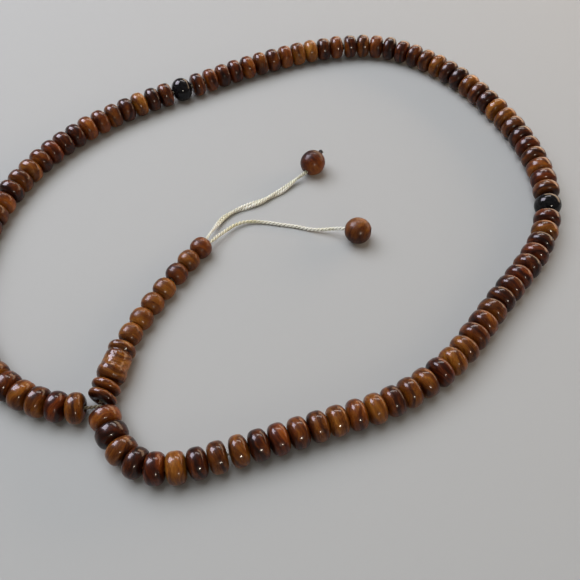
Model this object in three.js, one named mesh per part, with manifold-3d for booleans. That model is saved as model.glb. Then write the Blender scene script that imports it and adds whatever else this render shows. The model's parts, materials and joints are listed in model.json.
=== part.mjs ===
// A string of prayer beads, laid out in a loop with its tail inside the loop.
// Millimetres, +Z up. The origin is on the surface that the beads lie on, in the
// middle of the loop's footprint. +X runs along the loop's longer side, and +Y
// from the end where the loop is joined to the opposite end.
//
// A loop of rondelle beads is strung on one cord. Two round marker beads divide
// the loop into three sections. Where the loop closes, the cord leaves it through
// two thin discs, a long turned guru bead and seven small round beads. Two short
// cords come out of the last of those, and each ends in a round bead and a knot.

import * as THREE from 'three';
import { mergeVertices } from 'three/addons/utils/BufferGeometryUtils.js';
import Module from 'manifold-3d';

// Driving dimensions of the beads. A length is along the cord.
const RONDELLE_DIAMETER = 8;
const MARKER_DIAMETER = 8;
const MARKER_LENGTH = 7.1;
const DISC_DIAMETER = 7.6;
const DISC_LENGTH = 2.6;
const DISC_BORE_DIAMETER = 2.6;
const GURU_DIAMETER = 7.8;
const GURU_LENGTH = 11.4;
const TAIL_BEAD_DIAMETER = 6.2;
const TAIL_BEAD_LENGTH = 5.3;
const TAIL_BEAD_COUNT = 7;
const END_BEAD_DIAMETER = 7.8;
const END_BEAD_LENGTH = 7.4;
const BORE_DIAMETER = 2;
const END_BORE_DIAMETER = 2.3;

// Cords. The loop's cord is single, the tail's is double, and so is cord A.
const CORD_DIAMETER = 1;
const DOUBLE_CORD_DIAMETER = 1.6;
const KNOT_DIAMETER = 1.8;
const KNOT_SEAT = 0.2;

// Clearances. Beads that touch on the real string stand this far apart, and more
// where the string bends. Beads of one run overlap a little, so that the run is
// one solid.
const GAP = 0.3;
const BEND_GAP = 0.5;
const TAIL_BEND_GAP = 0.7;
const RUN_OVERLAP = 0.3;
const JUNCTION_TO_FIRST_BEAD = 1;
const LAST_BEAD_TO_JUNCTION = 3.6;
const JUNCTION_TO_DISC = 1.1;

// How far each disc leans on the cord, in degrees clockwise from above.
const DISC_LEANS = [15, 5];

// Facets round each kind of piece.
const RONDELLE_SIDES = 8;
const BEAD_SIDES = 12;
const CORD_SIDES = 8;

const RONDELLE_HEIGHT = RONDELLE_DIAMETER / 2;
const UP = new THREE.Vector3(0, 0, 1);

// The loop's cord, at the beads' middle height, from the junction round the loop
// anticlockwise and back to the junction.
const LOOP_ROUTE = [
  [-41.3, -65.1], [-39.9, -68.1], [-37.8, -72.3], [-34.9, -76.7], [-30.9, -80.1],
  [-26.1, -81.5], [-21.1, -81.1], [-12, -78.7], [-2.5, -75.8], [7, -72.8],
  [16.5, -69.7], [25, -67.2], [34, -63], [42, -57.8], [49.5, -51.2],
  [55.8, -43.5], [62, -35.7], [68.5, -28], [75, -20], [80, -11.5],
  [83.5, -1], [84.8, 10], [83.8, 21.5], [81, 33], [76.7, 43.5],
  [71, 54.5], [64, 64.2], [55.5, 72.5], [45.5, 78.7], [34.5, 81.3],
  [23, 80.3], [11, 77.5], [0, 73.1], [-11, 68.1], [-20.5, 63.1],
  [-29.8, 57.9], [-39.8, 52.7], [-50, 46.3], [-59, 39.3], [-67.5, 30.7],
  [-74, 21.5], [-78.8, 12.3], [-82.2, 2.5], [-84.1, -7.5], [-84.8, -17.5],
  [-84.1, -28], [-81.5, -38.7], [-76.5, -48.5], [-69.5, -56.4], [-61.5, -61.9],
  [-52.5, -65.1], [-47, -65.6], [-41.3, -65.1],
];

// The tail's cord, from the junction to the end of the last small bead. It drops
// from the loop's height to that of the smaller beads.
const TAIL_ROUTE = [
  [-41.5, -65.1, 4], [-41.2, -61.8, 4], [-39.9, -56, 4], [-38.2, -48, 3.9],
  [-36.4, -43.3, 3.5], [-34.3, -38.4, 3.2], [-31.9, -33.5, 3.15], [-29.2, -28.6, 3.15],
  [-26.3, -23.7, 3.15], [-23.3, -18.9, 3.15], [-20.1, -14.3, 3.15], [-18.1, -11.6, 3.15],
];

// The two free cords, from the last small bead to the middles of their end beads.
const CORD_A_ROUTE = [
  [-18.95, -11.2, 3.1], [-18.1, -8.7, 2.6], [-17, -5.9, 1.8], [-15.8, -3.1, 1.2],
  [-14.5, -0.9, 0.9], [-12.8, 0.8, 0.85], [-10.7, 2.2, 0.85], [-8.3, 3.4, 0.85],
  [-5.8, 4.6, 0.85], [-3.3, 5.8, 0.85], [-1, 7.3, 0.85], [1.4, 8.9, 0.9],
  [3.7, 10.7, 0.95], [5.7, 12.6, 1.15], [7.6, 14.4, 1.5], [9.4, 15.6, 2],
  [10.97, 16.66, 2.54], [13.3, 19.4, 4.05],
];
const CORD_B_ROUTE = [
  [-17.2, -11.85, 3.1], [-15.8, -9.7, 2.6], [-14.4, -8, 2.1], [-12.7, -6, 1.7],
  [-10.7, -4.2, 1.4], [-8.3, -2.9, 1.1], [-5.5, -2.4, 0.8], [-2.6, -2.5, 0.6],
  [0.1, -2.9, 0.55], [2.8, -3.5, 0.55], [5.5, -4, 0.55], [8.2, -4.6, 0.55],
  [10.8, -5.4, 0.6], [13.3, -6.1, 0.9], [15.7, -6.5, 1.4], [18.1, -7, 2.2],
  [20.2, -7.7, 3.1], [22.2, -8.4, 3.75], [25.7, -9.4, 4.05],
];

// The loop's beads in order from the junction: the arc of the loop that they keep
// with when the string bends, how many beads each joined run has, and whether a
// marker bead follows.
const STRETCHES = [
  { arc: 'junction', runs: [2, 4, 2] },
  { arc: 'front', runs: [4, 4, 3] },
  { arc: 'front_right', runs: [4, 4, 3, 3], marker: true },
  { arc: 'right', runs: [4, 4] },
  { arc: 'back_right', runs: [4, 4, 3, 3] },
  { arc: 'back', runs: [4, 4, 3] },
  { arc: 'back_left', runs: [1], marker: true },
  { arc: 'back_left', runs: [4, 4, 3, 3, 3] },
  { arc: 'left', runs: [4, 4] },
  { arc: 'junction', runs: [4, 4] },
];

const material = (color, roughness) =>
  new THREE.MeshStandardMaterial({ color, roughness, metalness: 0 });
const WOOD = {
  loop: material(0x6f3d1c, 0.25),
  guru: material(0x7d4a1f, 0.25),
  tail: material(0x84501f, 0.3),
  end: material(0x6b3a22, 0.4),
};
const BLACK = material(0x101012, 0.15);
const CREAM = material(0xe6dfc4, 0.85);
const KNOT = material(0x1c1815, 0.8);

const wasm = await Module();
wasm.setup();

const mala = new THREE.Group();

function addNode(name, geometry, look) {
  const mesh = new THREE.Mesh(geometry, look);
  mesh.name = name;
  mala.add(mesh);
  return mesh;
}

// ---- Places along a cord ----

function curveThrough(points) {
  const places = points.map(([x, y, z = RONDELLE_HEIGHT]) => new THREE.Vector3(x, y, z));
  const curve = new THREE.CatmullRomCurve3(places, false, 'centripetal');
  curve.arcLengthDivisions = 4000;
  return curve;
}

const pointAlong = (curve, distance) => curve.getPointAt(distance / curve.getLength());

// The place and turn of a piece made along its own +Y, with its own +Z kept
// upward, between two points of a cord.
function matrixBetween(start, end) {
  const along = end.clone().sub(start).normalize();
  const side = new THREE.Vector3().crossVectors(along, UP).normalize();
  const upward = new THREE.Vector3().crossVectors(side, along);
  const middle = start.clone().add(end).multiplyScalar(0.5);
  return new THREE.Matrix4().makeBasis(side, along, upward).setPosition(middle);
}

function placeBetween(mesh, start, end) {
  matrixBetween(start, end).decompose(mesh.position, mesh.quaternion, mesh.scale);
}

// ---- Shapes ----

// A bored bead along +Y. Its outline is (radius, place) pairs from its lower face
// to its upper one, and the bore closes it. A facet of the bead faces up and down.
function boredBead(outline, sides, boreRadius = BORE_DIAMETER / 2) {
  const bore = boreRadius / Math.cos(Math.PI / sides);
  const lower = outline[0][1];
  const upper = outline[outline.length - 1][1];
  const section = [[bore, lower], ...outline, [bore, upper], [bore, lower]];
  const points = section.map(([radius, place]) => new THREE.Vector2(radius, place));
  return new THREE.LatheGeometry(points, sides, Math.PI / sides);
}

// Half of a rounded bead's outline as a superellipse, from its flat face round the
// mouth of the bore over to the other face.
function roundOutline(diameter, length, faceRadius, power, steps) {
  const radius = diameter / 2;
  const reach = length / 2 / (1 - (faceRadius / radius) ** power) ** (1 / power);
  const outline = [];
  for (let i = 0; i <= steps; i += 1) {
    const place = -length / 2 + (length * i) / steps;
    outline.push([radius * (1 - (Math.abs(place) / reach) ** power) ** (1 / power), place]);
  }
  return outline;
}

// A rondelle whose two faces stand at its own distances from its middle. Its flat
// rim touches the surface below with one facet.
function rondelle(lowerReach, upperReach) {
  const rim = RONDELLE_DIAMETER / 2 / Math.cos(Math.PI / RONDELLE_SIDES);
  const shoulder = 3.3;
  const shoulderDrop = 0.4;
  const rimHalfWidth = 1.2;
  const mouth = BORE_DIAMETER / 2 / Math.cos(Math.PI / RONDELLE_SIDES) + 0.15;
  return boredBead([
    [mouth, -lowerReach],
    [shoulder, -lowerReach + shoulderDrop],
    [rim, -rimHalfWidth],
    [rim, rimHalfWidth],
    [shoulder, upperReach - shoulderDrop],
    [mouth, upperReach],
  ], RONDELLE_SIDES);
}

// The guru bead: a rounded foot, a shaft that narrows a little, a groove and a collar.
function guruBead() {
  const radius = GURU_DIAMETER / 2;
  const foot = -GURU_LENGTH / 2;
  return boredBead([
    [radius - 1.4, foot],
    [radius - 0.4, foot + 0.9],
    [radius, foot + 2.4],
    [radius - 0.25, foot + 3.8],
    [radius - 0.35, foot + 7.6],
    [radius - 0.95, foot + 8.3],
    [radius - 0.35, foot + 9],
    [radius - 0.2, foot + 9.6],
    [radius - 0.75, foot + 10.7],
    [radius - 1.9, foot + GURU_LENGTH],
  ], BEAD_SIDES);
}

// A curve that runs straight between its corners, one step to each.
class CornerPath extends THREE.Curve {
  constructor(corners) {
    super();
    this.corners = corners;
  }

  getPoint(t, target = new THREE.Vector3()) {
    const last = this.corners.length - 1;
    const index = Math.min(Math.floor(t * last + 1e-6), last - 1);
    return target.lerpVectors(this.corners[index], this.corners[index + 1], t * last - index);
  }

  getPointAt(u, target) {
    return this.getPoint(u, target);
  }

  getTangentAt(u, target = new THREE.Vector3()) {
    const last = this.corners.length - 1;
    const index = Math.round(u * last);
    const before = this.corners[Math.max(index - 1, 0)];
    const after = this.corners[Math.min(index + 1, last)];
    return target.subVectors(after, before).normalize();
  }
}

function cordTube(corners, diameter) {
  const section = new THREE.Shape();
  for (let i = 0; i < CORD_SIDES; i += 1) {
    const angle = ((i + 0.5) * 2 * Math.PI) / CORD_SIDES;
    const x = (diameter / 2) * Math.cos(angle);
    const y = (diameter / 2) * Math.sin(angle);
    if (i === 0) section.moveTo(x, y);
    else section.lineTo(x, y);
  }
  section.closePath();
  return new THREE.ExtrudeGeometry(section, {
    steps: corners.length - 1,
    extrudePath: new CornerPath(corners),
  });
}

// The corners with both ends drawn back, so that neighbouring cords don't touch.
function drawnBack(corners, distance) {
  const result = corners.map((corner) => corner.clone());
  const last = result.length - 1;
  result[0].add(corners[1].clone().sub(corners[0]).setLength(distance));
  result[last].add(corners[last - 1].clone().sub(corners[last]).setLength(distance));
  return result;
}

// ---- Solids joined by manifold ----

function toSolid(geometry) {
  const bare = geometry.clone();
  bare.deleteAttribute('normal');
  bare.deleteAttribute('uv');
  const merged = mergeVertices(bare, 1e-5);
  return new wasm.Manifold(new wasm.Mesh({
    numProp: 3,
    vertProperties: new Float32Array(merged.attributes.position.array),
    triVerts: new Uint32Array(merged.index.array),
  }));
}

function toGeometry(solid) {
  const mesh = solid.getMesh();
  const geometry = new THREE.BufferGeometry();
  geometry.setAttribute('position', new THREE.BufferAttribute(mesh.vertProperties, 3));
  geometry.setIndex(new THREE.BufferAttribute(mesh.triVerts, 1));
  geometry.computeVertexNormals();
  return geometry;
}

// ---- The loop ----

const loop = curveThrough(LOOP_ROUTE);
const markerCount = STRETCHES.filter((stretch) => stretch.marker).length;
const rondelleCount = STRETCHES.flatMap((stretch) => stretch.runs)
  .reduce((total, beads) => total + beads, 0);
const strungLength = loop.getLength() - JUNCTION_TO_FIRST_BEAD - LAST_BEAD_TO_JUNCTION;
const RONDELLE_PITCH = (strungLength - markerCount * MARKER_LENGTH) / rondelleCount;

const beadNumber = (number) => String(number).padStart(3, '0');

// One joined run of rondelles, from a distance along the loop's cord. Each end
// face stands back by half of the gap on that side.
function addRun(firstBead, beads, start, gapBefore, gapAfter) {
  let solid = null;
  for (let i = 0; i < beads; i += 1) {
    const half = RONDELLE_PITCH / 2;
    const lowerReach = i === 0 ? half - gapBefore / 2 : half + RUN_OVERLAP / 2;
    const upperReach = i === beads - 1 ? half - gapAfter / 2 : half + RUN_OVERLAP / 2;
    const from = pointAlong(loop, start + i * RONDELLE_PITCH);
    const to = pointAlong(loop, start + (i + 1) * RONDELLE_PITCH);
    const bead = rondelle(lowerReach, upperReach).applyMatrix4(matrixBetween(from, to));
    solid = solid ? solid.add(toSolid(bead)) : toSolid(bead);
  }
  const lastBead = firstBead + beads - 1;
  const name = beads === 1
    ? `bead_${beadNumber(firstBead)}`
    : `beads_${beadNumber(firstBead)}_${beadNumber(lastBead)}`;
  addNode(name, toGeometry(solid), WOOD.loop);
}

let distance = JUNCTION_TO_FIRST_BEAD;
let nextBead = 1;
let nextMarker = 1;
const cordCorners = { junction: [pointAlong(loop, 0)] };

// Notes a corner of an arc's cord at the present distance along the loop.
function noteCorner(arc) {
  cordCorners[arc] = cordCorners[arc] || [];
  cordCorners[arc].push(pointAlong(loop, distance));
}

const closingCorners = [];
STRETCHES.forEach(({ arc, runs, marker }, index) => {
  const before = STRETCHES[index - 1];
  const after = STRETCHES[index + 1];
  const closes = arc === 'junction' && index > 0;
  const corner = () => {
    if (closes) closingCorners.push(pointAlong(loop, distance));
    else noteCorner(arc);
  };
  if (!before || before.arc !== arc) corner();
  runs.forEach((beads, runIndex) => {
    const bendsBefore = runIndex === 0 && before && before.arc !== arc;
    const bendsAfter = runIndex === runs.length - 1 && !marker && after && after.arc !== arc;
    addRun(nextBead, beads, distance, bendsBefore ? BEND_GAP : GAP, bendsAfter ? BEND_GAP : GAP);
    nextBead += beads;
    for (let i = 0; i < beads; i += 1) {
      distance += RONDELLE_PITCH;
      corner();
    }
  });
  if (marker) {
    const start = pointAlong(loop, distance);
    distance += MARKER_LENGTH;
    const end = pointAlong(loop, distance);
    const outline = roundOutline(MARKER_DIAMETER, MARKER_LENGTH - BEND_GAP, 1.5, 2.1, 6);
    const bead = addNode(`marker_bead_${nextMarker}`, boredBead(outline, BEAD_SIDES), BLACK);
    placeBetween(bead, start, end);
    nextMarker += 1;
    corner();
  }
});

// The junction's cord closes the loop: it comes from the last stretch, through the
// junction, into the first.
cordCorners.junction = [...closingCorners, ...cordCorners.junction];
for (const [arc, corners] of Object.entries(cordCorners)) {
  addNode(`loop_cord_${arc}`, cordTube(drawnBack(corners, GAP / 2), CORD_DIAMETER), CREAM);
}

// ---- The tail ----

const tail = curveThrough(TAIL_ROUTE);
let along = JUNCTION_TO_DISC;
const tailCords = { head: [pointAlong(tail, CORD_DIAMETER / 2 + GAP)], middle: [], end: [] };

// Adds one bead of the tail, and the cord's corners at its two faces.
function addTailBead(name, geometry, length, look, part) {
  const start = pointAlong(tail, along);
  const end = pointAlong(tail, along + length);
  const bead = addNode(name, geometry, look);
  placeBetween(bead, start, end);
  tailCords[part].push(start, end);
  along += length;
  return bead;
}

DISC_LEANS.forEach((lean, index) => {
  const outline = roundOutline(DISC_DIAMETER, DISC_LENGTH, 2.6, 2.6, 4);
  const shape = boredBead(outline, BEAD_SIDES, DISC_BORE_DIAMETER / 2);
  const disc = addTailBead(`spacer_disc_${index + 1}`, shape, DISC_LENGTH, WOOD.guru, 'head');
  disc.rotateOnWorldAxis(UP, THREE.MathUtils.degToRad(-lean));
  along += GAP;
});
addTailBead('guru_bead', guruBead(), GURU_LENGTH, WOOD.guru, 'head');

const BENDS_BEFORE_TAIL_BEAD = { 1: 'middle', 5: 'end' };
let part = 'head';
for (let i = 1; i <= TAIL_BEAD_COUNT; i += 1) {
  const bends = BENDS_BEFORE_TAIL_BEAD[i];
  const gap = bends ? TAIL_BEND_GAP : GAP;
  if (bends) {
    const bendPlace = pointAlong(tail, along + gap / 2);
    tailCords[part].push(bendPlace);
    tailCords[bends].push(bendPlace);
    part = bends;
  }
  along += gap;
  const outline = roundOutline(TAIL_BEAD_DIAMETER, TAIL_BEAD_LENGTH, 1.6, 2.1, 6);
  addTailBead(`tail_bead_${i}`, boredBead(outline, BEAD_SIDES), TAIL_BEAD_LENGTH, WOOD.tail, part);
}

for (const [name, corners] of Object.entries(tailCords)) {
  const shortened = drawnBack(corners, GAP / 2);
  addNode(`tail_core_${name}`, cordTube(shortened, DOUBLE_CORD_DIAMETER), CREAM);
}

// ---- The free cords, with their end beads and knots ----

// A free cord follows its route to the middle of its end bead, and runs straight on
// to its knot, which stands at its own distance from there.
function addFreeCord(letter, route, diameter, knotDistance) {
  const corners = route.map(([x, y, z]) => new THREE.Vector3(x, y, z));
  const [entry, middle] = corners.slice(-2);
  const direction = middle.clone().sub(entry).normalize();
  const onAxis = (place) => middle.clone().addScaledVector(direction, place);
  corners.push(onAxis(knotDistance - KNOT_DIAMETER / 2 - GAP));
  addNode(`tail_cord_${letter}`, cordTube(corners, diameter), CREAM);

  const outline = roundOutline(END_BEAD_DIAMETER, END_BEAD_LENGTH, 1.7, 2.05, 6);
  const shape = boredBead(outline, BEAD_SIDES, END_BORE_DIAMETER / 2);
  const bead = addNode(`end_bead_${letter}`, shape, WOOD.end);
  placeBetween(bead, onAxis(-END_BEAD_LENGTH / 2), onAxis(END_BEAD_LENGTH / 2));

  const ball = new THREE.SphereGeometry(KNOT_DIAMETER / 2, 8, 6);
  addNode(`end_knot_${letter}`, ball, KNOT).position.copy(onAxis(knotDistance));
}

// Knot A is seated on the mouth of its bead's bore, and knot B is sunk in it.
const seatedOnBead = (END_BEAD_LENGTH + KNOT_DIAMETER) / 2 - KNOT_SEAT;
const sunkInBead = (END_BEAD_LENGTH - KNOT_DIAMETER) / 2;
addFreeCord('a', CORD_A_ROUTE, DOUBLE_CORD_DIAMETER, seatedOnBead);
addFreeCord('b', CORD_B_ROUTE, CORD_DIAMETER, sunkInBead);

export default mala;
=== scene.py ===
"""The looks of a string of prayer beads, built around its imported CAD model.

Everything is in metres, in the part's own frame: the beads lie on z = 0. Each bead is
an object of its own, and all but the two black markers are of banded wood. Each cord is
laid up from twisted strands. A bead or cord rides on the body of the CAD node that it
stands for.
"""

import json
import math
import random

import bpy
import numpy as np
from mathutils import Matrix, Vector

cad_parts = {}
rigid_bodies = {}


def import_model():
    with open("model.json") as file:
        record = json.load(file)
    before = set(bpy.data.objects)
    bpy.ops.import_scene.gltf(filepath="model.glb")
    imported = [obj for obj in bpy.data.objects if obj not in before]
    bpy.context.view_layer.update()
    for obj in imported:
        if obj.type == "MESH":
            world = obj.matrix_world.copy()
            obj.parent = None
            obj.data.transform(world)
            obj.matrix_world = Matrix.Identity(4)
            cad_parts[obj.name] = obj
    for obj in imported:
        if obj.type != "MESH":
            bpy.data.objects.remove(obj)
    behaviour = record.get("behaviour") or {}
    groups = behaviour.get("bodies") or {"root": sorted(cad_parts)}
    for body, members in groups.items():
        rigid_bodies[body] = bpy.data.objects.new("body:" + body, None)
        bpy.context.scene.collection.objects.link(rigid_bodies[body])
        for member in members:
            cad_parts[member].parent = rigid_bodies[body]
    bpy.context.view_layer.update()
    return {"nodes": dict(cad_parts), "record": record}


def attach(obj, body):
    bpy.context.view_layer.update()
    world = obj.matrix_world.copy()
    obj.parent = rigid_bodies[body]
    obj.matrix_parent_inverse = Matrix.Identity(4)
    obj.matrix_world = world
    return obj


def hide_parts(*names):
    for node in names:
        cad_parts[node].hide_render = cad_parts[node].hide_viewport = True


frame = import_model()

MM = 0.001
UP = Vector((0, 0, 1))
BODY_OF = {
    node: body
    for body, nodes in frame["record"]["behaviour"]["bodies"].items()
    for node in nodes
}

# ---- Sizes, the same as the CAD's unless a comment says otherwise ----

RONDELLE_RADIUS = 4 * MM
RONDELLE_HEIGHT = 4 * MM
MARKER_RADIUS = 4 * MM
MARKER_LENGTH = 7.1 * MM
DISC_RADIUS = 3.8 * MM
DISC_LENGTH = 2.6 * MM
GURU_LENGTH = 11.4 * MM
TAIL_BEAD_RADIUS = 3.1 * MM
TAIL_BEAD_LENGTH = 5.3 * MM
TAIL_BEAD_COUNT = 7
END_BEAD_RADIUS = 3.9 * MM
END_BEAD_LENGTH = 7.4 * MM
BORE_RADIUS = 1 * MM
END_BORE_RADIUS = 1.15 * MM
KNOT_RADIUS = 0.9 * MM
KNOT_SEAT = 0.2 * MM
CORD_RADIUS = 0.5 * MM

JUNCTION_TO_FIRST_BEAD = 1 * MM
LAST_BEAD_TO_JUNCTION = 3.6 * MM
JUNCTION_TO_DISC = 1.1 * MM
GAP = 0.3 * MM
TAIL_BEND_GAP = 0.7 * MM
TAIL_BENDS_BEFORE = (1, 5)

# These bores, and the doubled cord inside the tail, differ from the CAD's.
DISC_BORE_RADIUS = 1.05 * MM
LAST_BORE_RADIUS = 1.3 * MM
DOUBLE_CORD_RADIUS = 0.65 * MM

# How far each disc leans on the cord, in degrees clockwise from above.
DISC_LEANS = (15, 5)

# Beads of the loop that keep with each other nearly touch. Those that bend or turn
# against each other stand a little apart.
TOUCHING_GAP = 0.04 * MM
MOVING_GAP = 0.52 * MM

# The tail's small beads stand closer together than in the CAD.
TAIL_GAP = 0.1 * MM

# The flat faces round the bores.
RONDELLE_FACE_RADIUS = 1.35 * MM
MARKER_FACE_RADIUS = 1.4 * MM
DISC_FACE_RADIUS = 2.3 * MM
TAIL_BEAD_FACE_RADIUS = 1.5 * MM
END_BEAD_FACE_RADIUS = 1.5 * MM

# How full each outline is. At 2 it is an ellipse, and above that it is squarer.
MARKER_POWER = 2.08
DISC_POWER = 2.5
TAIL_BEAD_POWER = 2.35
END_BEAD_POWER = 2.02

# How far a piece strays from a true turned shape.
RONDELLE_WOBBLE = 0.06 * MM
ROUND_WOBBLE = 0.05 * MM
DISC_WOBBLE = 0.04 * MM
GURU_WOBBLE = 0.12 * MM

# The spread of the rondelles' leans on the cord, in degrees, and the smaller one of those
# beside a moving neighbour.
RONDELLE_LEAN = 1.3
STEADY_LEAN = 0.3

# How the cords lie in the bores. The two free cords leave the last small bead side by
# side, and narrow to its mouth over their first stretch.
IN_LAST_BORE = 0.5 * MM
BESIDE_MIDDLE = 0.55 * MM
MOUTH_RADIUS = 0.38 * MM
DRAWN_IN = 4 * MM
DRAWN_BACK = 0.15 * MM

# The free cords: the radius at their ends, and how much fuller they are in between.
CORD_A_RADIUS = 0.65 * MM
CORD_A_SLACK = 0.45 * MM
CORD_B_RADIUS = 0.56 * MM

# How the cords are laid up. A strand of a doubled cord and a ply of a strand have these
# shares of the whole's radius, so that they press into each other a little. A ply turns
# once in so many strand radii. A free cord's turns stand this high for their width.
PLIES = 2
STRAND_SHARE = 0.55
PLY_SHARE = 0.52
STRAND_PITCH = 24 * MM
PLY_PITCH_IN_RADII = 4.2
FREE_CORD_HEIGHT = 0.6

# How fine the meshes are.
RONDELLE_SIDES = 40
ROUND_SIDES = 44
FINE_SIDES = 48
PLY_SIDES = 7
OUTLINE_STEPS = 20
END_BEAD_STEPS = 22
DISC_STEPS = 16
FREE_CORD_STEP = 0.14 * MM
HIDDEN_CORD_STEP = 0.3 * MM

# A marker is made this much under size, to leave room for its wobble.
MARKER_UNDERSIZE = 0.99

# The rondelles in each of the loop's three sections. A marker follows the first two.
SECTIONS = (33, 34, 33)

# The loop's cord from the junction, anticlockwise, back to the junction.
LOOP_ROUTE = [
    (-0.0413, -0.0651), (-0.0399, -0.0681), (-0.0378, -0.0723), (-0.0349, -0.0767),
    (-0.0309, -0.0801), (-0.0261, -0.0815), (-0.0211, -0.0811), (-0.012, -0.0787),
    (-0.0025, -0.0758), (0.007, -0.0728), (0.0165, -0.0697), (0.025, -0.0672),
    (0.034, -0.063), (0.042, -0.0578), (0.0495, -0.0512), (0.0558, -0.0435),
    (0.062, -0.0357), (0.0685, -0.028), (0.075, -0.02), (0.08, -0.0115),
    (0.0835, -0.001), (0.0848, 0.01), (0.0838, 0.0215), (0.081, 0.033),
    (0.0767, 0.0435), (0.071, 0.0545), (0.064, 0.0642), (0.0555, 0.0725),
    (0.0455, 0.0787), (0.0345, 0.0813), (0.023, 0.0803), (0.011, 0.0775),
    (0, 0.0731), (-0.011, 0.0681), (-0.0205, 0.0631), (-0.0298, 0.0579),
    (-0.0398, 0.0527), (-0.05, 0.0463), (-0.059, 0.0393), (-0.0675, 0.0307),
    (-0.074, 0.0215), (-0.0788, 0.0123), (-0.0822, 0.0025), (-0.0841, -0.0075),
    (-0.0848, -0.0175), (-0.0841, -0.028), (-0.0815, -0.0387), (-0.0765, -0.0485),
    (-0.0695, -0.0564), (-0.0615, -0.0619), (-0.0525, -0.0651), (-0.047, -0.0656),
    (-0.0413, -0.0651),
]

# The tail's cord from the junction to the end of the last small bead.
TAIL_ROUTE = [
    (-0.0415, -0.0651, 0.004), (-0.0412, -0.0618, 0.004), (-0.0399, -0.056, 0.004),
    (-0.0382, -0.048, 0.0039), (-0.0364, -0.0433, 0.0035), (-0.0343, -0.0384, 0.0032),
    (-0.0319, -0.0335, 0.00315), (-0.0292, -0.0286, 0.00315),
    (-0.0263, -0.0237, 0.00315), (-0.0233, -0.0189, 0.00315),
    (-0.0201, -0.0143, 0.00315), (-0.0181, -0.0116, 0.00315),
]

# The free cords, from the last small bead to the middles of their end beads.
CORD_A_ROUTE = [
    (-0.01895, -0.0112, 0.0031), (-0.0181, -0.0087, 0.0026), (-0.017, -0.0059, 0.0018),
    (-0.0158, -0.0031, 0.0012), (-0.0145, -0.0009, 0.0009), (-0.0128, 0.0008, 0.00085),
    (-0.0107, 0.0022, 0.00085), (-0.0083, 0.0034, 0.00085), (-0.0058, 0.0046, 0.00085),
    (-0.0033, 0.0058, 0.00085), (-0.001, 0.0073, 0.00085), (0.0014, 0.0089, 0.0009),
    (0.0037, 0.0107, 0.00095), (0.0057, 0.0126, 0.00115), (0.0076, 0.0144, 0.0015),
    (0.0094, 0.0156, 0.002), (0.01097, 0.01666, 0.00254), (0.0133, 0.0194, 0.00405),
]
CORD_B_ROUTE = [
    (-0.0172, -0.01185, 0.0031), (-0.0158, -0.0097, 0.0026), (-0.0144, -0.008, 0.0021),
    (-0.0127, -0.006, 0.0017), (-0.0107, -0.0042, 0.0014), (-0.0083, -0.0029, 0.0011),
    (-0.0055, -0.0024, 0.0008), (-0.0026, -0.0025, 0.0006), (0.0001, -0.0029, 0.00055),
    (0.0028, -0.0035, 0.00055), (0.0055, -0.004, 0.00055), (0.0082, -0.0046, 0.00055),
    (0.0108, -0.0054, 0.0006), (0.0133, -0.0061, 0.0009), (0.0157, -0.0065, 0.0014),
    (0.0181, -0.007, 0.0022), (0.0202, -0.0077, 0.0031), (0.0222, -0.0084, 0.00375),
    (0.0257, -0.0094, 0.00405),
]

# How light the wood of a bead is, from 0 to 1, and how red.
TONES = {
    "y": (0.9, 0.2),  # yellow gold
    "g": (0.78, 0.25),  # gold
    "o": (0.68, 0.6),  # orange
    "b": (0.55, 0.3),  # brown
    "c": (0.42, 0.5),  # chestnut
    "r": (0.3, 0.9),  # dark red
    "d": (0.22, 0.6),  # dark
    "x": (0.1, 0.5),  # darkest
}
LOOP_TONES = (
    "odgxrgdggdrcbgogcbbrggccbxdrdrdgr"
    "brobrdbggdcgxdybcrdogdoxggoxgordoc"
    "cxyxbooddrcgbxogdrbocdgbrxggdgbrg"
)
TAIL_TONES = "yggycgo"


# ---- Routes ----


class Route:
    """A smooth curve through points, measured by its length from the first one.

    It is a centripetal Catmull-Rom curve, which is what the CAD strings its beads on.
    """

    STEPS = 60

    def __init__(self, points):
        places = [np.array((*p, RONDELLE_HEIGHT)[:3], float) for p in points]
        before = 2 * places[0] - places[1]
        after = 2 * places[-1] - places[-2]
        padded = [before, *places, after]
        samples = [places[0]]
        for four in zip(padded, padded[1:], padded[2:], padded[3:]):
            samples += self._between(*four)
        self.samples = np.array(samples)
        steps = np.linalg.norm(np.diff(self.samples, axis=0), axis=1)
        self.distances = np.concatenate([[0], np.cumsum(steps)])
        self.length = float(self.distances[-1])

    def _between(self, a, b, c, d):
        """Samples after b up to c, on the curve through a, b, c and d."""
        knots = [0.0]
        for p, q in ((a, b), (b, c), (c, d)):
            knots.append(knots[-1] + math.sqrt(np.linalg.norm(q - p)))
        k0, k1, k2, k3 = knots
        result = []
        for i in range(1, self.STEPS + 1):
            t = k1 + (k2 - k1) * i / self.STEPS
            ab = a + (b - a) * (t - k0) / (k1 - k0)
            bc = b + (c - b) * (t - k1) / (k2 - k1)
            cd = c + (d - c) * (t - k2) / (k3 - k2)
            abc = ab + (bc - ab) * (t - k0) / (k2 - k0)
            bcd = bc + (cd - bc) * (t - k1) / (k3 - k1)
            result.append(abc + (bcd - abc) * (t - k1) / (k2 - k1))
        return result

    def at(self, distance):
        """The point at a distance along the curve."""
        return Vector([np.interp(distance, self.distances, self.samples[:, i]) for i in range(3)])


def placed_between(start, end):
    """The matrix of a piece made along its own +Z, between two points of a cord."""
    along = (end - start).normalized()
    side = along.cross(UP).normalized()
    upward = side.cross(along)
    matrix = Matrix((side, -upward, along)).transposed().to_4x4()
    matrix.translation = (start + end) / 2
    return matrix


# ---- Meshes ----


def new_object(name, vertices, faces):
    """A smooth-shaded mesh object, in the scene's collection."""
    mesh = bpy.data.meshes.new(name)
    mesh.from_pydata([tuple(v) for v in vertices], [], faces)
    mesh.shade_smooth()
    obj = bpy.data.objects.new(name, mesh)
    bpy.context.scene.collection.objects.link(obj)
    return obj


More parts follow.
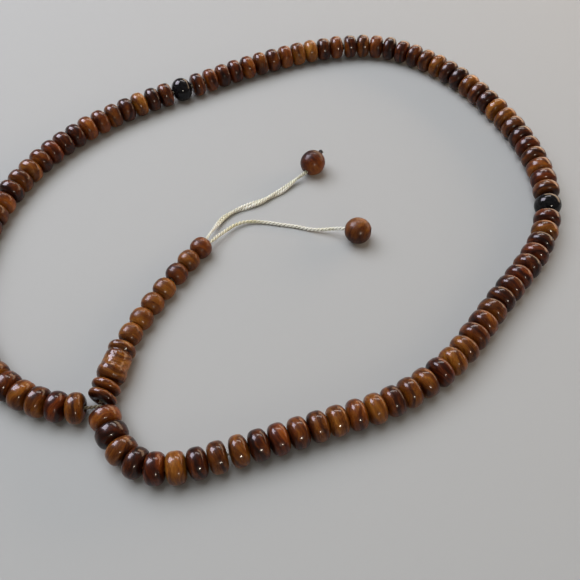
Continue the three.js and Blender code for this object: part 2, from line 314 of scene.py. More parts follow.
def grid_faces(rings, sides, closed):
    """Quads that join rings of vertices into a tube, or into a ring of tube."""
    last = rings if closed else rings - 1
    faces = []
    for i in range(last):
        for j in range(sides):
            a = i * sides + j
            b = i * sides + (j + 1) % sides
            c = ((i + 1) % rings) * sides + (j + 1) % sides
            d = ((i + 1) % rings) * sides + j
            faces.append((a, b, c, d))
    return faces


def bead_object(name, outline, bore_radius, sides, wobble, seed):
    """A bored bead turned about +Z from its (radius, place) outline.

    The bore's mouths are rounded over. Wobble is how far the turner's hand strays.
    """
    lower = outline[0][1]
    upper = outline[-1][1]
    rounding = 0.12 * MM
    section = [
        (bore_radius, lower + rounding * 2),
        (bore_radius + rounding * 0.3, lower + rounding * 0.6),
        *outline,
        (bore_radius + rounding * 0.3, upper - rounding * 0.6),
        (bore_radius, upper - rounding * 2),
    ]
    rng = random.Random(seed)
    waves = []
    for _ in range(4):
        direction = Vector([rng.uniform(-1, 1) for _ in range(3)]).normalized()
        waves.append((direction * rng.uniform(0.5, 1.4) / MM, rng.uniform(0, math.tau)))
    vertices = []
    for radius, place in section:
        for j in range(sides):
            angle = math.tau * j / sides
            point = Vector((radius * math.cos(angle), radius * math.sin(angle), place))
            stray = sum(math.sin(wave.dot(point) + phase) for wave, phase in waves) / 4
            grown = 1 + wobble * stray / radius if radius > bore_radius else 1
            vertices.append((point.x * grown, point.y * grown, point.z))
    return new_object(name, vertices, grid_faces(len(section), sides, closed=True))


def superellipse(radius, lower_reach, upper_reach, face_radius, power, steps):
    """Half of a rounded bead's outline, from one flat face over to the other."""
    flat = (1 - (face_radius / radius) ** power) ** (1 / power)
    end = math.acos(min(1.0, flat ** (power / 2)))
    outline = []
    for i in range(steps + 1):
        angle = -math.pi / 2 + end + (math.pi - 2 * end) * i / steps
        across = radius * math.cos(angle) ** (2 / power)
        reach = lower_reach if angle < 0 else upper_reach
        along = math.copysign(abs(math.sin(angle)) ** (2 / power), angle) * reach / flat
        outline.append((across, along))
    return outline


def grain(obj, seed, tone, red, lighter=None, stain_and_painted_shade=None):
    """Gives a bead its own place in the wood, in millimetres, and its tone.

    There the wood's layers lie across +X, which is nearly the bead's bore, and its
    fibres run along +Z. The bead grows lighter along a direction of it, which is
    random if not given, as the wood's own tone; a given direction is painted light.
    Painted shade and light along the bore come as (place along the bore, change of
    tone) pairs.
    """
    rng = random.Random(seed)
    if lighter is None:
        lighter = Vector([rng.gauss(0, spread) for spread in (0.11, 0.11, 0.22)])
    layers = Vector((rng.gauss(0, 0.22), rng.gauss(0, 0.22), 1)).normalized()
    angle = rng.uniform(-0.2, 1.3)
    fibres = Vector((math.cos(angle), math.sin(angle), 0))
    fibres = (fibres - layers * fibres.dot(layers)).normalized()
    turn = Matrix((layers, fibres.cross(layers), fibres))
    place = Vector((rng.uniform(9, 26), rng.uniform(-5, 5), rng.uniform(-60, 60)))
    mesh = obj.data
    values = []
    for vertex in mesh.vertices:
        values += list(turn @ (vertex.co / MM) + place)
    mesh.attributes.new("grain", "FLOAT_VECTOR", "POINT").data.foreach_set("vector", values)
    reach = max(obj.dimensions) / 2
    # A given lighter direction paints light on the bead; a random one is only the wood's tone.
    tones = [tone + lighter.dot(vertex.co) / reach for vertex in mesh.vertices]
    # Painted shade and light: changes of tone along the bore.
    if stain_and_painted_shade:
        changes = np.interp([vertex.co.z for vertex in mesh.vertices], *zip(*stain_and_painted_shade))
        tones = [value + change for value, change in zip(tones, changes)]
    for name, value in (("tone", tones), ("red", [red] * len(tones))):
        attribute = mesh.attributes.new(name, "FLOAT", "POINT")
        attribute.data.foreach_set("value", value)


# ---- Materials ----


def new_material(name):
    """A material, its node tree and its Principled node."""
    material = bpy.data.materials.new(name)
    material.use_nodes = True
    tree = material.node_tree
    return material, tree, tree.nodes["Principled BSDF"]


def add(tree, kind, inputs=None, **settings):
    """A new node. An input's value is a constant, or an output to link."""
    node = tree.nodes.new(kind)
    for key, value in settings.items():
        setattr(node, key, value)
    for key, value in (inputs or {}).items():
        if isinstance(value, bpy.types.NodeSocket):
            tree.links.new(value, node.inputs[key])
        else:
            node.inputs[key].default_value = value
    return node


def maths(tree, operation, a, b):
    """The result of a Math node."""
    return add(tree, "ShaderNodeMath", {0: a, 1: b}, operation=operation).outputs[0]


def ramp(tree, factor, stops):
    """The colour of a ramp at a factor. Stops are (place, colour)."""
    node = add(tree, "ShaderNodeValToRGB", {"Fac": factor})
    elements = node.color_ramp.elements
    while len(elements) < len(stops):
        elements.new(0.5)
    for element, (place, colour) in zip(elements, stops):
        element.position = place
        element.color = (*colour, 1)
    return node.outputs["Color"]


def mix_colour(tree, factor, a, b, blend="MIX"):
    """Colour a turning into colour b."""
    node = add(tree, "ShaderNodeMix", data_type="RGBA", blend_type=blend)
    for socket, value in ((node.inputs[0], factor), (node.inputs[6], a), (node.inputs[7], b)):
        if isinstance(value, bpy.types.NodeSocket):
            tree.links.new(value, socket)
        else:
            socket.default_value = value
    return node.outputs[2]


def centred(tree, value, amount):
    """A value between 0 and 1, moved to lie round 0 and made as large as the amount."""
    return maths(tree, "MULTIPLY", maths(tree, "SUBTRACT", value, 0.5), amount)


def wood_material(name, roughness, coat, coat_roughness, ripple, contrast=1.0):
    """Banded wood under clear varnish. It reads each bead's grain, tone and red.

    Ripple is how far the varnish's surface wavers.
    """
    material, tree, shader = new_material(name)
    place = add(tree, "ShaderNodeAttribute", attribute_name="grain").outputs["Vector"]
    tone = add(tree, "ShaderNodeAttribute", attribute_name="tone").outputs["Fac"]
    red = add(tree, "ShaderNodeAttribute", attribute_name="red").outputs["Fac"]

    # The wood's lines, bent by a slow noise.
    warp = add(tree, "ShaderNodeTexNoise", {"Vector": place, "Scale": 0.16, "Detail": 1.0})
    warp = add(
        tree, "ShaderNodeVectorMath", {0: warp.outputs["Color"], 1: (0.5, 0.5, 0.5)},
        operation="SUBTRACT",
    )
    warp = add(
        tree, "ShaderNodeVectorMath", {0: warp.outputs[0], "Scale": 3.0}, operation="SCALE",
    )
    warped = add(tree, "ShaderNodeVectorMath", {0: place, 1: warp.outputs[0]}).outputs[0]

    # Light heartwood against dark, streaks, fibres, pores and growth rings. Each noise
    # has its scale across the layers, across the fibres within a layer, and along them.
    def noise_in(scales, **inputs):
        stretched = add(
            tree, "ShaderNodeMapping", {"Vector": warped, "Scale": scales},
        ).outputs[0]
        node = add(tree, "ShaderNodeTexNoise", {"Vector": stretched, "Scale": 1.0, **inputs})
        return node.outputs["Fac"]

    heart = noise_in((0.26, 0.16, 0.1), Detail=1.5)
    streaks = noise_in((0.8, 0.17, 0.07), Detail=2.0)
    fibre = noise_in((3.2, 1.6, 0.2), Detail=4.0, Roughness=0.65)
    pores = add(
        tree, "ShaderNodeMapRange",
        {
            "Value": noise_in((8.0, 6.0, 0.8), Detail=1.0),
            "From Min": 0.6, "From Max": 0.72, "To Max": -0.22,
        },
    ).outputs[0]
    rings = add(
        tree, "ShaderNodeTexWave",
        {"Vector": warped, "Scale": 0.11, "Distortion": 1.2, "Detail": 2.0, "Detail Scale": 0.5},
        wave_type="RINGS", rings_direction="Z",
    ).outputs["Fac"]
    late_wood = add(
        tree, "ShaderNodeMapRange",
        {"Value": rings, "From Min": 0.6, "To Min": 0.0, "To Max": -0.16 * contrast},
        interpolation_type="SMOOTHSTEP",
    ).outputs[0]

    value = maths(tree, "ADD", centred(tree, heart, 0.75 * contrast), late_wood)
    value = maths(tree, "ADD", value, centred(tree, streaks, 0.6 * contrast))
    value = maths(tree, "ADD", value, centred(tree, fibre, 0.6))
    value = maths(tree, "ADD", value, pores)
    value = maths(tree, "ADD", value, maths(tree, "MULTIPLY", tone, 0.5))
    value = maths(tree, "ADD", value, 0.17)

    yellow = ramp(tree, value, [
        (0.0, (0.01, 0.0025, 0.001)),
        (0.25, (0.032, 0.008, 0.002)),
        (0.48, (0.105, 0.033, 0.004)),
        (0.72, (0.23, 0.085, 0.01)),
        (1.0, (0.38, 0.18, 0.035)),
    ])
    reddish = ramp(tree, value, [
        (0.0, (0.011, 0.002, 0.001)),
        (0.25, (0.044, 0.007, 0.002)),
        (0.48, (0.13, 0.024, 0.004)),
        (0.72, (0.25, 0.064, 0.008)),
        (1.0, (0.38, 0.14, 0.022)),
    ])
    colour = mix_colour(tree, red, yellow, reddish)
    tree.links.new(colour, shader.inputs["Base Color"])

    brushed = add(tree, "ShaderNodeTexNoise", {"Vector": place, "Scale": 0.5, "Detail": 2.0})
    bump = add(tree, "ShaderNodeBump", {"Height": brushed.outputs["Fac"], "Distance": ripple})
    tree.links.new(bump.outputs[0], shader.inputs["Coat Normal"])
    bump = add(
        tree, "ShaderNodeBump",
        {"Height": fibre, "Strength": 0.1, "Distance": 0.03 * MM, "Normal": bump.outputs[0]},
    )
    tree.links.new(bump.outputs[0], shader.inputs["Normal"])
    shader.inputs["Roughness"].default_value = roughness
    shader.inputs["Specular IOR Level"].default_value = 0.1
    shader.inputs["Subsurface Weight"].default_value = 0.25
    shader.inputs["Subsurface Radius"].default_value = (1.0, 0.3, 0.08)
    shader.inputs["Subsurface Scale"].default_value = 1.6 * MM
    shader.inputs["Coat Weight"].default_value = coat
    shader.inputs["Coat IOR"].default_value = 1.4
    shader.inputs["Coat Roughness"].default_value = coat_roughness
    return material


def black_material():
    """The marker beads: black, polished, with a faint haze in the polish."""
    material, tree, shader = new_material("polished_black")
    place = add(tree, "ShaderNodeTexCoord").outputs["Object"]
    haze = add(
        tree, "ShaderNodeTexNoise", {"Vector": place, "Scale": 900.0, "Detail": 3.0},
    ).outputs["Fac"]
    colour = ramp(tree, haze, [(0.35, (0.003, 0.003, 0.004)), (0.75, (0.012, 0.011, 0.012))])
    tree.links.new(colour, shader.inputs["Base Color"])
    rough = add(
        tree, "ShaderNodeMapRange", {"Value": haze, "To Min": 0.06, "To Max": 0.2},
    ).outputs[0]
    tree.links.new(rough, shader.inputs["Roughness"])
    shader.inputs["Specular IOR Level"].default_value = 0.08
    shader.inputs["Coat Weight"].default_value = 0.25
    shader.inputs["Coat Roughness"].default_value = 0.05
    return material


def cord_material(name, stained, clean):
    """Thread: fine fibres along each strand, stained in places, with painted shade in its folds.
    """
    material, tree, shader = new_material(name)
    place = add(tree, "ShaderNodeTexCoord").outputs["Object"]
    stain_and_painted_shade = add(
        tree, "ShaderNodeTexNoise", {"Vector": place, "Scale": 120.0, "Detail": 2.0},
    ).outputs["Fac"]
    colour = ramp(tree, stain_and_painted_shade, [(0.35, stained), (0.62, clean)])
    fuzz = add(
        tree, "ShaderNodeTexNoise", {"Vector": place, "Scale": 6000.0, "Detail": 3.0},
    ).outputs["Fac"]
    shade = ramp(tree, fuzz, [(0.3, (0.78, 0.75, 0.7)), (0.6, (1, 1, 1))])
    colour = mix_colour(tree, 1.0, colour, shade, blend="MULTIPLY")
    # Painted shade: darker where the thread lies deep in the folds between its plies.
    outward = add(tree, "ShaderNodeAttribute", attribute_name="outward").outputs["Fac"]
    painted_fold_shade = ramp(tree, outward, [(0.4, (0.3, 0.27, 0.2)), (0.85, (1, 1, 1))])
    colour = mix_colour(tree, 1.0, colour, painted_fold_shade, blend="MULTIPLY")
    tree.links.new(colour, shader.inputs["Base Color"])
    bump = add(tree, "ShaderNodeBump", {"Height": fuzz, "Strength": 0.5, "Distance": 0.05 * MM})
    tree.links.new(bump.outputs[0], shader.inputs["Normal"])
    shader.inputs["Roughness"].default_value = 0.75
    shader.inputs["Sheen Weight"].default_value = 0.3
    return material


def knot_material():
    """The black nub that stops a bead."""
    material, tree, shader = new_material("black_thread")
    place = add(tree, "ShaderNodeTexCoord").outputs["Object"]
    fuzz = add(
        tree, "ShaderNodeTexNoise", {"Vector": place, "Scale": 3500.0, "Detail": 2.0},
    ).outputs["Fac"]
    colour = ramp(tree, fuzz, [(0.3, (0.008, 0.007, 0.006)), (0.7, (0.035, 0.03, 0.026))])
    tree.links.new(colour, shader.inputs["Base Color"])
    shader.inputs["Roughness"].default_value = 0.6
    return material


def floor_material():
    """A plain pale surface."""
    material, _, shader = new_material("floor")
    shader.inputs["Base Color"].default_value = (0.378, 0.381, 0.38, 1)
    shader.inputs["Roughness"].default_value = 0.9
    return material


WOOD = wood_material("varnished_wood", 0.3, 0.45, 0.07, ripple=0.06 * MM)
GURU_WOOD = wood_material("guru_wood", 0.3, 0.5, 0.08, ripple=0.3 * MM)
TAIL_WOOD = wood_material("tail_wood", 0.4, 0.3, 0.16, ripple=0.1 * MM, contrast=0.6)
SATIN_WOOD = wood_material("satin_wood", 0.45, 0.25, 0.22, ripple=0.1 * MM, contrast=0.5)
BLACK = black_material()
CREAM = cord_material("cream_cord", (0.72, 0.69, 0.46), (0.9, 0.9, 0.82))
# Painted shade: a darkened copy of the cream cord, for the threads in and between the beads,
# which lie in shade.
PAINTED_SHADE_CREAM = cord_material("painted_shade_cord", (0.16, 0.12, 0.06), (0.34, 0.28, 0.18))
NUB = knot_material()


# ---- Camera, fitted to the pitch of the beads round the loop in the photograph ----

CAMERA_PLACE = (0.0055, -0.1405, 0.1554)
CAMERA_TILT = math.radians(35.98)
CAMERA_ROLL = -0.0133
CAMERA_LENS = 42.16
SENSOR_WIDTH = 36

camera_data = bpy.data.cameras.new("camera")
camera_data.sensor_width = SENSOR_WIDTH
camera_data.lens = CAMERA_LENS
camera_data.clip_start = 0.005
camera = bpy.data.objects.new("camera", camera_data)
bpy.context.scene.collection.objects.link(camera)
camera.matrix_world = (
    Matrix.Translation(CAMERA_PLACE)
    @ Matrix.Rotation(CAMERA_TILT, 4, "X")
    @ Matrix.Rotation(CAMERA_ROLL, 4, "Z")
)
bpy.context.scene.camera = camera


# ---- Cords ----


def strand_frames(points):
    """The side and upward vectors at each point of a line."""
    tangents = np.gradient(points, axis=0)
    tangents /= np.linalg.norm(tangents, axis=1)[:, None]
    sides = np.cross(tangents, np.array(UP))
    sides /= np.linalg.norm(sides, axis=1)[:, None]
    return sides, np.cross(sides, tangents)


def wound(points, radii, pitch, phase, height=1.0):
    """A line wound round another, at a radius from it, once in each pitch.

    Height is how high its turns stand for their width.
    """
    steps = np.linalg.norm(np.diff(points, axis=0), axis=1)
    angles = phase + math.tau * np.concatenate([[0], np.cumsum(steps)]) / pitch
    sides, upward = strand_frames(points)
    around = np.cos(angles)[:, None] * sides + height * np.sin(angles)[:, None] * upward
    return points + radii[:, None] * around


def tube(points, radii):
    """The vertices and faces of a tube round a line, closed at both ends."""
    sides, upward = strand_frames(points)
    vertices = []
    for point, radius, side, up in zip(points, radii, sides, upward):
        for j in range(PLY_SIDES):
            angle = math.tau * j / PLY_SIDES
            vertices.append(point + radius * (math.cos(angle) * side + math.sin(angle) * up))
    faces = grid_faces(len(points), PLY_SIDES, closed=False)
    faces.append(tuple(reversed(range(PLY_SIDES))))
    faces.append(tuple(range((len(points) - 1) * PLY_SIDES, len(points) * PLY_SIDES)))
    return vertices, faces


def twisted_cord(name, points, strands, radii, look, height=1.0):
    """One mesh of two-ply strands wound round a line. The radii are the whole cord's.

    The mesh's "outward" is how far each point is from its strand's middle, as a share
    of the strand's radius. The cord's material paints shade where it is low, in the folds.
    """
    strand_radii = radii if strands == 1 else STRAND_SHARE * radii
    ply_radii = PLY_SHARE * strand_radii
    ply_pitch = PLY_PITCH_IN_RADII * float(strand_radii.mean())
    vertices = []
    faces = []
    outward = []
    for k in range(strands):
        line = wound(points, radii - strand_radii, STRAND_PITCH, math.tau * k / strands, height)
        for m in range(PLIES):
            ply = wound(line, strand_radii - ply_radii, ply_pitch, math.tau * m / PLIES)
            new_vertices, new_faces = tube(ply, ply_radii)
            faces += [tuple(len(vertices) + i for i in face) for face in new_faces]
            vertices += new_vertices
            rings = np.array(new_vertices).reshape(len(line), -1, 3)
            outward += list(
                (np.linalg.norm(rings - line[:, None], axis=2) / strand_radii[:, None]).ravel()
            )
    obj = new_object(name, vertices, faces)
    attribute = obj.data.attributes.new("outward", "FLOAT", "POINT")
    attribute.data.foreach_set("value", outward)
    obj.data.materials.append(look)
    return obj


def evenly(route, start, end, step):
    """Points along a route, one every step."""
    count = max(2, round((end - start) / step) + 1)
    return np.array([route.at(start + (end - start) * i / (count - 1)) for i in range(count)])


def knot_object(name, place, direction):
    """A small overhand knot: a thread that goes twice round, in three lobes."""
    lobes = 3
    count = 89
    sides = 8
    ring_radius = 0.42 * KNOT_RADIUS
    lobe_depth = 0.45
    lobe_height = 0.36 * KNOT_RADIUS
    thread_radius = 0.3 * KNOT_RADIUS
    line = []
    for i in range(count):
        angle = math.tau * i / count
        ring = ring_radius * (1 + lobe_depth * math.cos(lobes * angle))
        height = lobe_height * math.sin(lobes * angle)
        line.append((ring * math.cos(2 * angle), ring * math.sin(2 * angle), height))
    line = np.array(line)
    vertices = []
    for point, ahead, behind in zip(line, np.roll(line, -1, axis=0), np.roll(line, 1, axis=0)):
        along = Vector(ahead - behind).normalized()
        side = along.cross(Vector((0.3, 0.2, 1))).normalized()
        upward = side.cross(along)
        for j in range(sides):
            angle = math.tau * j / sides
            outward = math.cos(angle) * side + math.sin(angle) * upward
            vertices.append(Vector(point) + thread_radius * outward)
    obj = new_object(name, vertices, grid_faces(count, sides, closed=True))
    obj.matrix_world = placed_between(place - direction * MM, place + direction * MM)
    obj.data.materials.append(NUB)
    return obj


tail = Route(TAIL_ROUTE)
TAIL_SIDE = (tail.at(tail.length) - tail.at(tail.length - MM)).cross(UP).normalized()
TAIL_LENGTH = (
    JUNCTION_TO_DISC + 2 * (DISC_LENGTH + GAP) + GURU_LENGTH
    + TAIL_BEAD_COUNT * (TAIL_BEAD_LENGTH + GAP) + len(TAIL_BENDS_BEFORE) * (TAIL_BEND_GAP - GAP)
)

# Each end bead's tone, how red it is and where it is painted lighter: a painted glow on bead a's
# side away from the light, and painted light on bead b's top.
END_LOOKS = {
    "a": (0.42, 0.7, Vector((0.5, 0.15, -0.3))),
    "b": (0.52, 0.3, Vector((-0.1, -0.3, 0))),
}


def free_cord(letter, points, strands, radius, slack, beside, knot_distance):
    """One free cord, with its end bead and knot.

    Slack is how much fuller the cord is in the middle of its length than at its ends.
    Beside is how far from the middle of the last small bead's bore it comes out. The
    knot distance is from the end bead's middle to the knot's.
    """
    middle = Vector(points[-1])
    direction = (middle - Vector(points[-2])).normalized()
    mouth = tail.at(TAIL_LENGTH - IN_LAST_BORE) + beside * TAIL_SIDE
    route = Route([
        tuple(mouth), *points[:-1], middle,
        middle + direction * (knot_distance - KNOT_RADIUS - GAP),
    ])
    centre = evenly(route, 0, route.length, FREE_CORD_STEP)
    along = np.linspace(0, 1, len(centre))
    radii = radius + slack * np.sin(math.pi * along) ** 2
    radii *= np.interp(along * route.length, [0, DRAWN_IN], [MOUTH_RADIUS / radius, 1])
    body = BODY_OF[f"tail_cord_{letter}"]
    cord = twisted_cord(
        f"free_cord_{letter}", centre, strands, radii, CREAM, FREE_CORD_HEIGHT,
    )
    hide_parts(f"tail_cord_{letter}")
    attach(cord, body)

    outline = superellipse(
        END_BEAD_RADIUS, END_BEAD_LENGTH / 2, END_BEAD_LENGTH / 2, END_BEAD_FACE_RADIUS,
        END_BEAD_POWER, END_BEAD_STEPS,
    )
    bead = bead_object(
        f"round_end_{letter}", outline, END_BORE_RADIUS, FINE_SIDES, ROUND_WOBBLE,
        seed=700 + ord(letter),
    )
    half = direction * END_BEAD_LENGTH / 2
    bead.matrix_world = placed_between(middle - half, middle + half)
    tone, red, lighter = END_LOOKS[letter]
    grain(bead, 40 + ord(letter), tone, red, lighter)
    bead.data.materials.append(SATIN_WOOD)
    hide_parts(f"end_bead_{letter}")
    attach(bead, BODY_OF[f"end_bead_{letter}"])

    knot = knot_object(f"nub_{letter}", middle + direction * knot_distance, direction)
    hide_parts(f"end_knot_{letter}")
    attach(knot, body)


# Cord A's knot sits on its bead, and cord B's is sunk in the mouth of the bore.
free_cord(
    "a", CORD_A_ROUTE, 2, CORD_A_RADIUS, CORD_A_SLACK, -BESIDE_MIDDLE,
    END_BEAD_LENGTH / 2 + KNOT_RADIUS - KNOT_SEAT,
)
free_cord(
    "b", CORD_B_ROUTE, 1, CORD_B_RADIUS, 0, BESIDE_MIDDLE, END_BEAD_LENGTH / 2 - KNOT_RADIUS,
)


# ---- The loop ----

loop = Route(LOOP_ROUTE)
MARKER_COUNT = len(SECTIONS) - 1
RONDELLE_PITCH = (
    loop.length - JUNCTION_TO_FIRST_BEAD - LAST_BEAD_TO_JUNCTION - MARKER_COUNT * MARKER_LENGTH
) / sum(SECTIONS)


def loop_places():
    """Each bead's CAD node, number and two ends along the loop, from the junction."""
    node_of = {}
    for node in frame["nodes"]:
        kind, *numbers = node.split("_")
        if kind in ("bead", "beads"):
            first, last = int(numbers[0]), int(numbers[-1])
            node_of.update({number: node for number in range(first, last + 1)})
    places = []
    distance = JUNCTION_TO_FIRST_BEAD
    number = 0
    for section, count in enumerate(SECTIONS, start=1):
        for _ in range(count):
            number += 1
            places.append((node_of[number], number, distance, distance + RONDELLE_PITCH))
            distance += RONDELLE_PITCH
        if section < len(SECTIONS):
            places.append((f"marker_bead_{section}", None, distance, distance + MARKER_LENGTH))
            distance += MARKER_LENGTH
    return places


def standing_back(place, neighbour):
    """Half of the gap between a bead of the loop and its neighbour."""
    together = neighbour and BODY_OF[place[0]] == BODY_OF[neighbour[0]]
    return (TOUCHING_GAP if together else MOVING_GAP) / 2


def rondelle(number, node, start, end, back_below, back_above):
    """One rondelle, a little out of true as a turned bead is."""
    rng = random.Random(number)
    half = (end - start).length / 2
    radius = RONDELLE_RADIUS * rng.uniform(0.972, 1)
    power = rng.uniform(2.5, 3.1)
    outline = superellipse(
        radius, half - back_below, half - back_above, RONDELLE_FACE_RADIUS, power,
        OUTLINE_STEPS,
    )
    bead = bead_object(
        f"rondelle_{number:03d}", outline, BORE_RADIUS, RONDELLE_SIDES, RONDELLE_WOBBLE,
        seed=number,
    )
    steady = MOVING_GAP / 2 in (back_below, back_above)
    leaning = math.radians(STEADY_LEAN if steady else RONDELLE_LEAN)
    lean = Matrix.Rotation(rng.gauss(0, leaning), 4, "X")
    lean = lean @ Matrix.Rotation(rng.gauss(0, leaning), 4, "Y")
    matrix = placed_between(start, end)
    matrix.translation.z = radius
    bead.matrix_world = matrix @ lean
    tone, red = TONES[LOOP_TONES[number - 1]]
    grain(bead, 100 + number, tone, red)
    bead.data.materials.append(WOOD)
    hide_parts(node)
    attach(bead, BODY_OF[node])


def round_bead(
    name, node, start, end, radius, face_radius, power, material, tone, seed,
    bore_radius=BORE_RADIUS,
):
    """A rounded bead between two points of a cord."""
    half = (end - start).length / 2
    outline = superellipse(radius, half, half, face_radius, power, OUTLINE_STEPS)
    bead = bead_object(name, outline, bore_radius, ROUND_SIDES, ROUND_WOBBLE, seed)
    bead.matrix_world = placed_between(start, end)
    grain(bead, seed, *tone)
    bead.data.materials.append(material)
    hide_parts(node)
    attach(bead, BODY_OF[node])


places = loop_places()
for i, place in enumerate(places):
    node, number, near, far = place
    below = standing_back(place, places[i - 1] if i > 0 else None)
    above = standing_back(place, places[i + 1] if i + 1 < len(places) else None)
    if number:
        rondelle(number, node, loop.at(near), loop.at(far), below, above)
    else:
        inset = MOVING_GAP / 2
        round_bead(
            f"black_round_{node[-1]}", node, loop.at(near + inset), loop.at(far - inset),
            MARKER_RADIUS * MARKER_UNDERSIZE, MARKER_FACE_RADIUS, MARKER_POWER, BLACK,
            (0, 0), 900 + i,
        )


def loop_cord(body, stretches):
    """The loop's cord in one body, along one or more stretches of the loop."""
    points = []
    for near, far in stretches:
        points += list(evenly(loop, near, far, HIDDEN_CORD_STEP))
    radii = np.full(len(points), CORD_RADIUS)
    cord = twisted_cord(f"thread_{body}", np.array(points), 1, radii, PAINTED_SHADE_CREAM)
    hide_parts(f"loop_cord_{body.removeprefix('loop_')}")
    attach(cord, body)


def stretch_body(place):
    """The bending body that a bead of the loop is strung in."""
    body = BODY_OF[place[0]]
    for joint in frame["record"]["behaviour"]["joints"]:
        if joint["child"] == body and joint["name"].endswith("_spin"):
            return joint["parent"]
    return body


# The loop's cord is one piece for each body that it bends in, drawn back from the bends.
# The first and last stretches are one piece, through the junction, and the first starts
# a little on so that no point comes twice.
PAST_JUNCTION = 0.1 * MM
extents = {}
closing_start = None
for i, place in enumerate(places):
    body = stretch_body(place)
    if body == "loop_junction" and i > len(places) / 2:
        closing_start = place[2] if closing_start is None else closing_start
        continue
    near, _ = extents.get(body, (place[2], None))
    extents[body] = (near, place[3])
for body, (near, far) in extents.items():
    if body == "loop_junction":
        stretches = [
            (closing_start + DRAWN_BACK, loop.length), (PAST_JUNCTION, far - DRAWN_BACK),
        ]
    else:
        stretches = [(near + DRAWN_BACK, far - DRAWN_BACK)]
    loop_cord(body, stretches)


# ---- The tail ----


def disc_outline():
    """A thin disc with a full round rim."""
    return superellipse(
        DISC_RADIUS, DISC_LENGTH / 2, DISC_LENGTH / 2, DISC_FACE_RADIUS, DISC_POWER,
        DISC_STEPS,
    )


def guru_outline():
    """The long bead: a rounded foot, a narrowing shaft, a groove and a collar.

    Its corners are (radius, height above the foot), in millimetres.
    """
    foot = -GURU_LENGTH / 2
    corners = [
        (1.5, 0), (2.6, 0.12), (3.35, 0.65), (3.78, 1.5), (3.9, 2.3), (3.87, 2.9), (3.78, 3.3),
        (3.66, 3.6), (3.61, 3.9), (3.59, 4.6), (3.57, 5.5), (3.55, 6.4), (3.55, 7.1),
        (3.48, 7.6), (3.26, 7.9), (2.98, 8.1), (2.95, 8.35), (3.22, 8.6), (3.58, 9.0),
        (3.7, 9.5), (3.62, 10.1), (3.25, 10.7), (2.45, 11.2), (1.5, 11.4),
    ]
    return [(radius * MM, foot + place * MM) for radius, place in corners]


def tail_piece(name, node, outline, bore_radius, ends, tone, wobble, seed, lean=0, stain_and_painted_shade=None):
    """A disc or the guru bead. Lean is in degrees, clockwise from above."""
    piece = bead_object(name, outline, bore_radius, FINE_SIDES, wobble, seed)
    placed = placed_between(*ends)
    turned = Matrix.Rotation(math.radians(-lean), 4, "Z")
    piece.matrix_world = (
        Matrix.Translation(placed.translation) @ turned
        @ Matrix.Translation(-placed.translation) @ placed
    )
    grain(piece, seed, *tone, stain_and_painted_shade=stain_and_painted_shade)
    piece.data.materials.append(GURU_WOOD)
    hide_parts(node)
    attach(piece, BODY_OF[node])


# Painted shade: the guru bead is darker in its groove and at its foot than along its shaft.
GURU_PAINTED_SHADE = [
    (place * MM - GURU_LENGTH / 2, change)
    for place, change in (
        (0.4, -0.5), (2.0, -0.45), (3.3, 0), (6.6, 0.05), (7.5, -0.5), (8.6, -0.55), (9.2, 0),
    )
]

# Painted shade and light: a disc is darker on the junction's side, away from the light, than on
# the guru bead's side.
DISC_PAINTED_SHADING = [(-1.1 * MM, -0.5), (0, 0), (0.9 * MM, 0.5)]

# The tail's cord is in three parts. Each runs between two distances along the tail.
core_ends = {"head": [CORD_RADIUS + GAP]}
distance = JUNCTION_TO_DISC
for i, lean in enumerate(DISC_LEANS, start=1):
    tail_piece(
        f"thin_disc_{i}", f"spacer_disc_{i}", disc_outline(), DISC_BORE_RADIUS,
        (tail.at(distance), tail.at(distance + DISC_LENGTH)),
        (0.72, 0.4), DISC_WOBBLE, 300 + i, lean, DISC_PAINTED_SHADING,
    )
    distance += DISC_LENGTH + GAP
tail_piece(
    "long_bead", "guru_bead", guru_outline(), BORE_RADIUS,
    (tail.at(distance), tail.at(distance + GURU_LENGTH)),
    (0.95, 0.15), GURU_WOBBLE, 310, stain_and_painted_shade=GURU_PAINTED_SHADE,
)
distance += GURU_LENGTH

# A small bead is this much longer at each end than the CAD's.
grown = (GAP - TAIL_GAP) / 2
part = "head"
for i in range(1, TAIL_BEAD_COUNT + 1):
    gap = TAIL_BEND_GAP if i in TAIL_BENDS_BEFORE else GAP
    if i in TAIL_BENDS_BEFORE:
        core_ends[part].append(distance + gap / 2)
        part = {"head": "middle", "middle": "end"}[part]
        core_ends[part] = [distance + gap / 2]
    distance += gap
    round_bead(
        f"small_round_{i}", f"tail_bead_{i}", tail.at(distance - grown),
        tail.at(distance + TAIL_BEAD_LENGTH + grown), TAIL_BEAD_RADIUS,
        TAIL_BEAD_FACE_RADIUS, TAIL_BEAD_POWER, TAIL_WOOD,
        TONES[TAIL_TONES[i - 1]], 400 + i,
        BORE_RADIUS if i < TAIL_BEAD_COUNT else LAST_BORE_RADIUS,
    )
    distance += TAIL_BEAD_LENGTH
core_ends[part].append(distance - 2 * IN_LAST_BORE)

for part, (near, far) in core_ends.items():
    points = evenly(tail, near + DRAWN_BACK, far - DRAWN_BACK, HIDDEN_CORD_STEP)
    radii = np.full(len(points), DOUBLE_CORD_RADIUS)
    core = twisted_cord(f"thread_tail_{part}", points, 2, radii, PAINTED_SHADE_CREAM)
    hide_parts(f"tail_core_{part}")
    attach(core, BODY_OF[f"tail_core_{part}"])


# ---- Floor and light ----

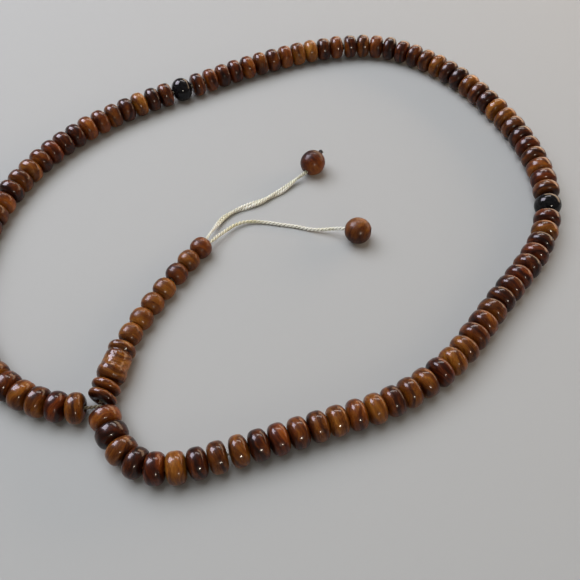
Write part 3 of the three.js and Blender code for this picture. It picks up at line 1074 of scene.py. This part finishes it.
FLOOR_SIZE = 4
FLOOR_DROP = 0.02 * MM
bpy.ops.mesh.primitive_plane_add(size=FLOOR_SIZE, location=(0, 0, -FLOOR_DROP))
floor = bpy.context.active_object
floor.name = "floor"
floor.data.materials.append(floor_material())


def add_light(name, kind, place, watts, colour):
    """A light that faces the origin, and its data."""
    data = bpy.data.lights.new(name, kind)
    data.energy = watts
    data.color = colour
    light = bpy.data.objects.new(name, data)
    light.location = place
    light.rotation_euler = (-Vector(place)).to_track_quat("-Z", "Y").to_euler()
    bpy.context.scene.collection.objects.link(light)
    return light, data


def rectangle_light(name, place, width, height, watts, colour):
    """A rectangular light that faces the origin."""
    light, data = add_light(name, "AREA", place, watts, colour)
    data.shape = "RECTANGLE"
    data.size = width
    data.size_y = height
    return light


def soft_light(*description):
    """A rectangular light that gives the scene its shading but no reflection."""
    rectangle_light(*description).visible_glossy = False


def reflected_window(*description):
    """A rectangular light that shows only in the varnish."""
    rectangle_light(*description).visible_diffuse = False


def reflected_lamp(name, place, radius, watts, colour):
    """A small lamp that shows only as a point of light in the varnish."""
    light, data = add_light(name, "POINT", place, watts, colour)
    data.shadow_soft_size = radius
    light.visible_diffuse = False


soft_light("daylight", (-0.26, 0.22, 0.76), 0.85, 0.85, 9.0, (0.92, 0.96, 1.0))
soft_light("fill", (0.35, -0.6, 0.3), 0.7, 0.4, 0.5, (1.0, 0.84, 0.66))
soft_light("side", (0.6, 0.32, 0.16), 0.5, 0.2, 2.6, (1.0, 0.74, 0.52))
reflected_window("window", (-0.45, 0.34, 0.52), 0.45, 0.46, 12.5, (0.9, 0.85, 1.0))
reflected_window("far_window", (0.08, 0.6, 0.54), 0.5, 0.14, 2.6, (1.0, 0.95, 0.94))
reflected_window("sunlit_side", (0.52, 0.6, 0.14), 1.3, 0.34, 8.0, (1.0, 0.7, 0.46))
reflected_lamp("lamp", (0.21, -0.55, 0.27), 0.035, 5.6, (1.0, 0.9, 0.76))

world = bpy.data.worlds.new("world")
world.use_nodes = True
background = world.node_tree.nodes["Background"]
background.inputs["Color"].default_value = (1.0, 0.93, 0.84, 1)
background.inputs["Strength"].default_value = 0.18
bpy.context.scene.world = world
bpy.context.scene.view_settings.view_transform = "Standard"
